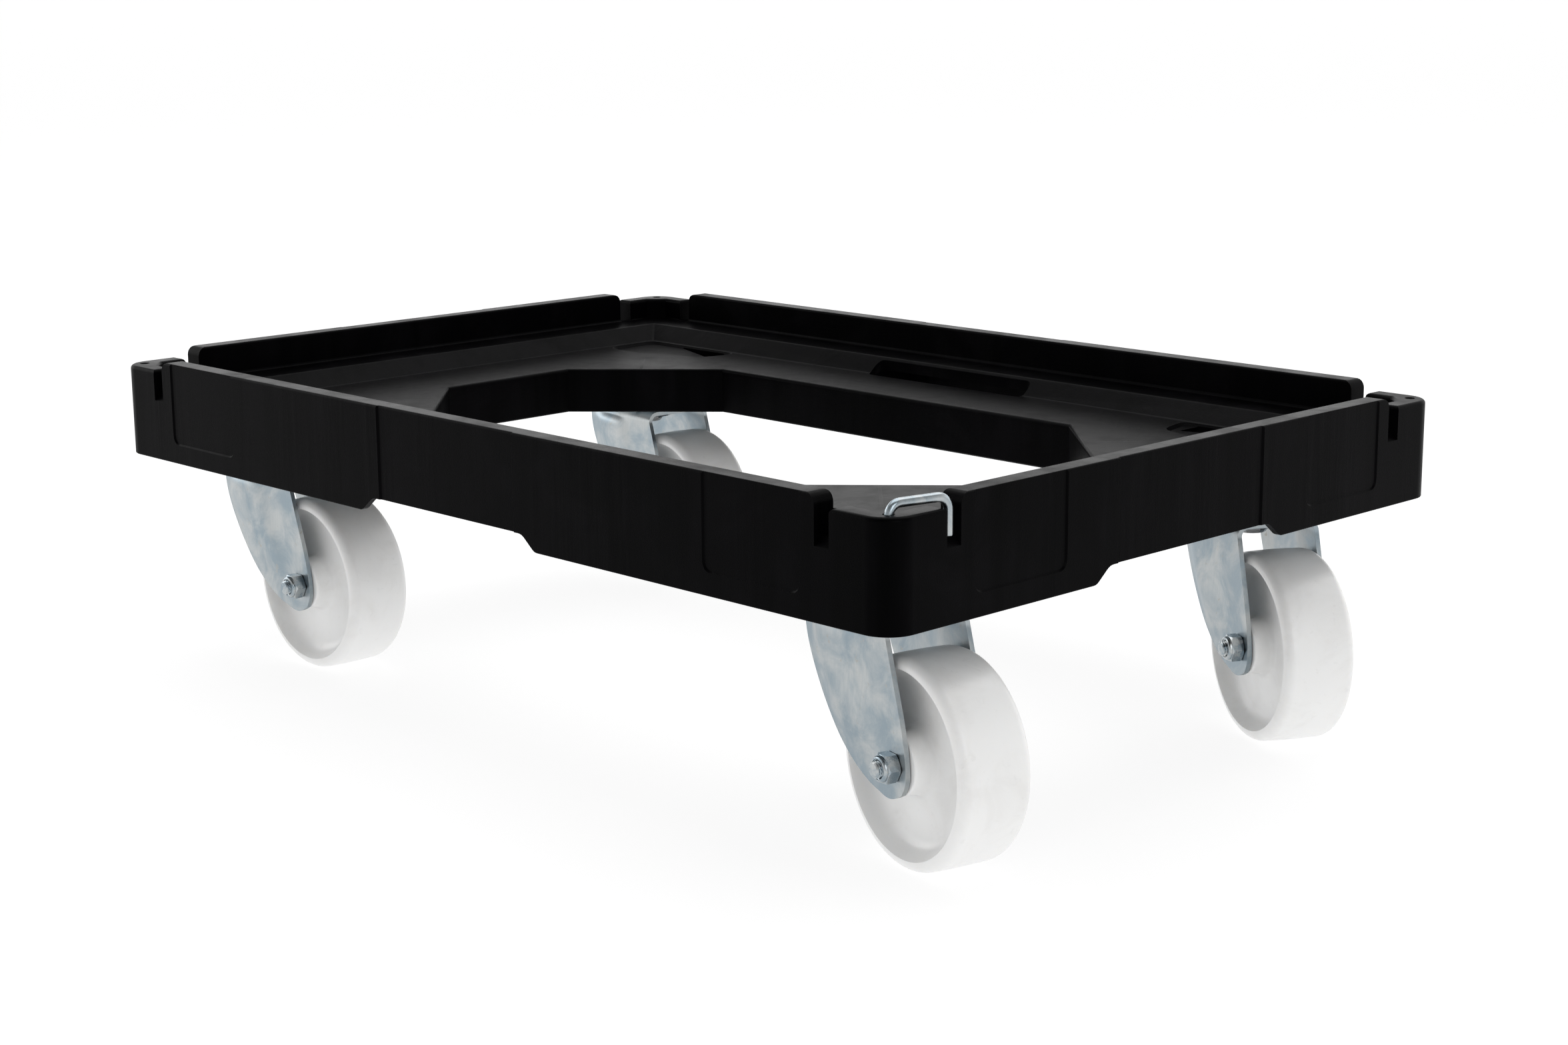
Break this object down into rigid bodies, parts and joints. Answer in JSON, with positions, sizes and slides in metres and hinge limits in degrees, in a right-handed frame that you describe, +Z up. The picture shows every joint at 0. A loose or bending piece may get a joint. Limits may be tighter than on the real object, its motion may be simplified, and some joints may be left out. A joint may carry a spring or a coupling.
{
  "type": "crate dolly",
  "caption": "Low moulded dolly for stacking crates: walled rectangular frame with an octagonal opening, swivel castors with solid wheels and a wire coupling hook.",
  "frame": {"origin": "on the floor, under the middle of the whole dolly's bounding box, so 12.2 mm from the middle of the moulded frame towards the trailing wheels' end", "axes": "+Z up, +X along the long side towards the end that carries the coupling hook, -Y the long side with the hook's corner"},
  "size_m": [0.6444, 0.42, 0.1799],
  "materials": {
    "moulded_plastic": "black injection-moulded plastic, satin, slightly glossy on its upper faces",
    "white_nylon": "solid white nylon, smooth and faintly translucent",
    "zinc_plate": "bright zinc plate with a faint blue and yellow cast",
    "bearing_steel": "plain oiled steel"
  },
  "bodies": {
    "frame": {"deck_frame": "moulded_plastic", "front_left_castor_plate": "zinc_plate", "front_left_kingpin": "bearing_steel", "front_left_seat_screw_1": "zinc_plate", "front_left_seat_screw_2": "zinc_plate", "front_left_seat_screw_3": "zinc_plate", "front_left_seat_screw_4": "zinc_plate", "front_right_castor_plate": "zinc_plate", "front_right_kingpin": "bearing_steel", "front_right_seat_screw_1": "zinc_plate", "front_right_seat_screw_2": "zinc_plate", "front_right_seat_screw_3": "zinc_plate", "front_right_seat_screw_4": "zinc_plate", "rear_right_castor_plate": "zinc_plate", "rear_right_kingpin": "bearing_steel", "rear_right_seat_screw_1": "zinc_plate", "rear_right_seat_screw_2": "zinc_plate", "rear_right_seat_screw_3": "zinc_plate", "rear_right_seat_screw_4": "zinc_plate", "rear_left_castor_plate": "zinc_plate", "rear_left_kingpin": "bearing_steel", "rear_left_seat_screw_1": "zinc_plate", "rear_left_seat_screw_2": "zinc_plate", "rear_left_seat_screw_3": "zinc_plate", "rear_left_seat_screw_4": "zinc_plate"},
    "front_left_castor": {"front_left_fork": "zinc_plate", "front_left_ball_row": "bearing_steel", "front_left_lower_race": "zinc_plate", "front_left_axle_bolt": "zinc_plate", "front_left_axle_nut": "zinc_plate", "front_left_axle_sleeve": "bearing_steel"},
    "front_left_wheel": {"front_left_wheel": "white_nylon"},
    "front_right_castor": {"front_right_fork": "zinc_plate", "front_right_ball_row": "bearing_steel", "front_right_lower_race": "zinc_plate", "front_right_axle_bolt": "zinc_plate", "front_right_axle_nut": "zinc_plate", "front_right_axle_sleeve": "bearing_steel"},
    "front_right_wheel": {"front_right_wheel": "white_nylon"},
    "rear_right_castor": {"rear_right_fork": "zinc_plate", "rear_right_ball_row": "bearing_steel", "rear_right_lower_race": "zinc_plate", "rear_right_axle_bolt": "zinc_plate", "rear_right_axle_nut": "zinc_plate", "rear_right_axle_sleeve": "bearing_steel"},
    "rear_right_wheel": {"rear_right_wheel": "white_nylon"},
    "rear_left_castor": {"rear_left_fork": "zinc_plate", "rear_left_ball_row": "bearing_steel", "rear_left_lower_race": "zinc_plate", "rear_left_axle_bolt": "zinc_plate", "rear_left_axle_nut": "zinc_plate", "rear_left_axle_sleeve": "bearing_steel"},
    "rear_left_wheel": {"rear_left_wheel": "white_nylon"},
    "hook_slider": {"hook_retainer": "bearing_steel"},
    "hook": {"coupling_hook": "zinc_plate"}
  },
  "joints": [
    {"name": "front_left_swivel", "type": "hinge", "parent": "frame", "child": "front_left_castor", "pos_m": [-0.25518, -0.141, 0.11], "axis": [0, 0, 1], "continuous": true},
    {"name": "front_left_spin", "type": "hinge", "parent": "front_left_castor", "child": "front_left_wheel", "pos_m": [-0.21469, -0.14171, 0.05], "axis": [0.0175, 0.9998, 0], "continuous": true},
    {"name": "front_right_swivel", "type": "hinge", "parent": "frame", "child": "front_right_castor", "pos_m": [0.23082, -0.141, 0.11], "axis": [0, 0, 1], "continuous": true},
    {"name": "front_right_spin", "type": "hinge", "parent": "front_right_castor", "child": "front_right_wheel", "pos_m": [0.27023, -0.15032, 0.05], "axis": [0.23, 0.9732, 0], "continuous": true},
    {"name": "rear_right_swivel", "type": "hinge", "parent": "frame", "child": "rear_right_castor", "pos_m": [0.23082, 0.141, 0.11], "axis": [0, 0, 1], "continuous": true},
    {"name": "rear_right_spin", "type": "hinge", "parent": "rear_right_castor", "child": "rear_right_wheel", "pos_m": [0.26603, 0.121, 0.05], "axis": [0.4939, 0.8695, 0], "continuous": true},
    {"name": "rear_left_swivel", "type": "hinge", "parent": "frame", "child": "rear_left_castor", "pos_m": [-0.25518, 0.141, 0.11], "axis": [0, 0, 1], "continuous": true},
    {"name": "rear_left_spin", "type": "hinge", "parent": "rear_left_castor", "child": "rear_left_wheel", "pos_m": [-0.21498, 0.13606, 0.05], "axis": [0.1219, 0.9925, 0], "continuous": true},
    {"name": "hook_lift", "type": "slide", "parent": "frame", "child": "hook_slider", "axis": [0, 0, 1], "range_m": [0, 0.02]},
    {"name": "hook_swing", "type": "hinge", "parent": "hook_slider", "child": "hook", "pos_m": [0.28782, -0.2, 0.16], "axis": [0, 0, -1], "range_deg": [0, 244]}
  ]
}
